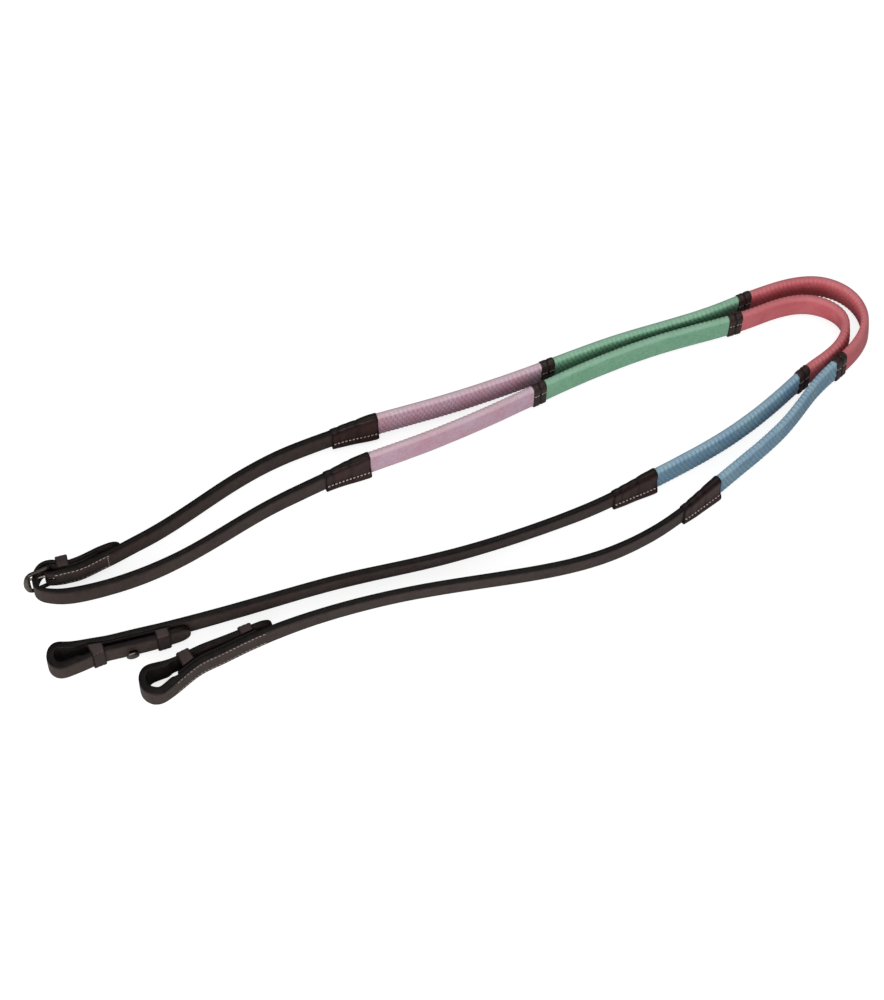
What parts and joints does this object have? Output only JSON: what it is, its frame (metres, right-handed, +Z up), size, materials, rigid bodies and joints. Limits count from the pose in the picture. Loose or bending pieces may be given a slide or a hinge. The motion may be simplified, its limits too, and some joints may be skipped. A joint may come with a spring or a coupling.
{
  "type": "riding reins",
  "caption": "Pair of leather riding reins with banded rubber grips, joined at a centre buckle and ending in hook-stud bit loops, laid on edge.",
  "frame": {"origin": "middle of the foot of the centre buckle's frame, on the floor the reins stand on", "axes": "+Z up across the width of the straps, +X along the laid-out reins from the buckle towards the far bend, +Y away from the bit ends"},
  "size_m": [0.575, 0.3338, 0.023],
  "materials": {
    "leather": "dark brown, semi-gloss finish with pale stitching",
    "webbing": "matt woven core",
    "lilac_rubber": "matt, dimpled on one face",
    "green_rubber": "matt, dimpled on one face",
    "red_rubber": "matt, dimpled on one face",
    "blue_rubber": "matt, dimpled on one face",
    "nickel": "bright nickel plate",
    "stud_steel": "satin steel"
  },
  "bodies": {
    "centre": {"rein1_chape": "leather", "rein2_buckle_billet": "leather", "centre_keeper": "leather"},
    "frame": {"buckle_frame": "nickel"},
    "tongue": {"buckle_tongue": "nickel"},
    "rein1_lilac_run": {"rein1_hand_strap": "leather", "rein1_hand_sleeve": "leather", "rein1_grip_lilac": "lilac_rubber", "rein1_core_a": "webbing", "rein1_divider_1": "leather"},
    "rein1_green_run": {"rein1_grip_green": "green_rubber", "rein1_core_b": "webbing", "rein1_divider_2": "leather"},
    "rein1_red_run": {"rein1_grip_red": "red_rubber", "rein1_core_c": "webbing", "rein1_divider_3": "leather"},
    "rein1_blue_run": {"rein1_grip_blue": "blue_rubber", "rein1_core_d": "webbing", "rein1_bit_sleeve": "leather", "rein1_bit_strap": "leather"},
    "rein1_bit_end": {"rein1_bit_billet": "leather", "rein1_stud_lining": "leather", "rein1_billet_keeper_near": "leather", "rein1_billet_keeper_far": "leather", "rein1_hook_stud": "stud_steel"},
    "rein2_lilac_run": {"rein2_hand_strap": "leather", "rein2_hand_sleeve": "leather", "rein2_grip_lilac": "lilac_rubber", "rein2_core_a": "webbing", "rein2_divider_1": "leather"},
    "rein2_green_run": {"rein2_grip_green": "green_rubber", "rein2_core_b": "webbing", "rein2_divider_2": "leather"},
    "rein2_red_run": {"rein2_grip_red": "red_rubber", "rein2_core_c": "webbing", "rein2_divider_3": "leather"},
    "rein2_blue_run": {"rein2_grip_blue": "blue_rubber", "rein2_core_d": "webbing", "rein2_bit_sleeve": "leather", "rein2_bit_strap": "leather"},
    "rein2_bit_end": {"rein2_bit_billet": "leather", "rein2_stud_lining": "leather", "rein2_billet_keeper_near": "leather", "rein2_billet_keeper_far": "leather", "rein2_hook_stud": "stud_steel"}
  },
  "joints": [
    {"name": "buckle_frame_swing", "type": "hinge", "parent": "centre", "child": "frame", "pos_m": [0.00668, 0.00341, 0.0114], "axis": [0, 0, 1], "range_deg": [-3, 1]},
    {"name": "buckle_tongue_swing", "type": "hinge", "parent": "frame", "child": "tongue", "pos_m": [0.00668, 0.00341, 0.0114], "axis": [0, 0, 1], "range_deg": [-2, 1]},
    {"name": "rein1_lilac_lift", "type": "hinge", "parent": "centre", "child": "rein1_lilac_run", "pos_m": [0.08503, 0.04468, 0.00959], "axis": [-0.7773, -0.6291, 0], "range_deg": [0, 25]},
    {"name": "rein1_green_lift", "type": "hinge", "parent": "rein1_lilac_run", "child": "rein1_green_run", "pos_m": [0.34261, 0.17062, 0.0116], "axis": [-0.9081, -0.4188, 0], "range_deg": [0, 25]},
    {"name": "rein1_red_lift", "type": "hinge", "parent": "rein1_green_run", "child": "rein1_red_run", "pos_m": [0.48106, 0.22805, 0.0116], "axis": [-0.9082, -0.4186, 0], "range_deg": [0, 25]},
    {"name": "rein1_blue_bend", "type": "hinge", "parent": "rein1_red_run", "child": "rein1_blue_run", "pos_m": [0.53676, 0.16839, 0.0116], "axis": [0, 0, 1], "range_deg": [0, 22]},
    {"name": "rein1_bit_bend", "type": "hinge", "parent": "rein1_blue_run", "child": "rein1_bit_end", "pos_m": [0.16994, -0.03282, 0.009], "axis": [0, 0, 1], "range_deg": [-6, 22]},
    {"name": "rein2_lilac_lift", "type": "hinge", "parent": "centre", "child": "rein2_lilac_run", "pos_m": [0.05813, -0.00026, 0.00959], "axis": [0.9179, 0.3967, 0], "range_deg": [-13, 0]},
    {"name": "rein2_green_lift", "type": "hinge", "parent": "rein2_lilac_run", "child": "rein2_green_run", "pos_m": [0.33647, 0.15165, 0.0116], "axis": [0.8734, 0.4869, 0], "range_deg": [-13, 0]},
    {"name": "rein2_red_lift", "type": "hinge", "parent": "rein2_green_run", "child": "rein2_red_run", "pos_m": [0.47433, 0.20987, 0.0116], "axis": [0.9313, 0.3642, 0], "range_deg": [-13, 0]},
    {"name": "rein2_blue_lift", "type": "hinge", "parent": "rein2_red_run", "child": "rein2_blue_run", "pos_m": [0.51025, 0.15749, 0.0116], "axis": [-0.7127, -0.7015, 0], "range_deg": [-13, 0]},
    {"name": "rein2_bit_bend", "type": "hinge", "parent": "rein2_blue_run", "child": "rein2_bit_end", "pos_m": [0.11256, -0.02852, 0.009], "axis": [0, 0, 1], "range_deg": [-18, 14]}
  ]
}
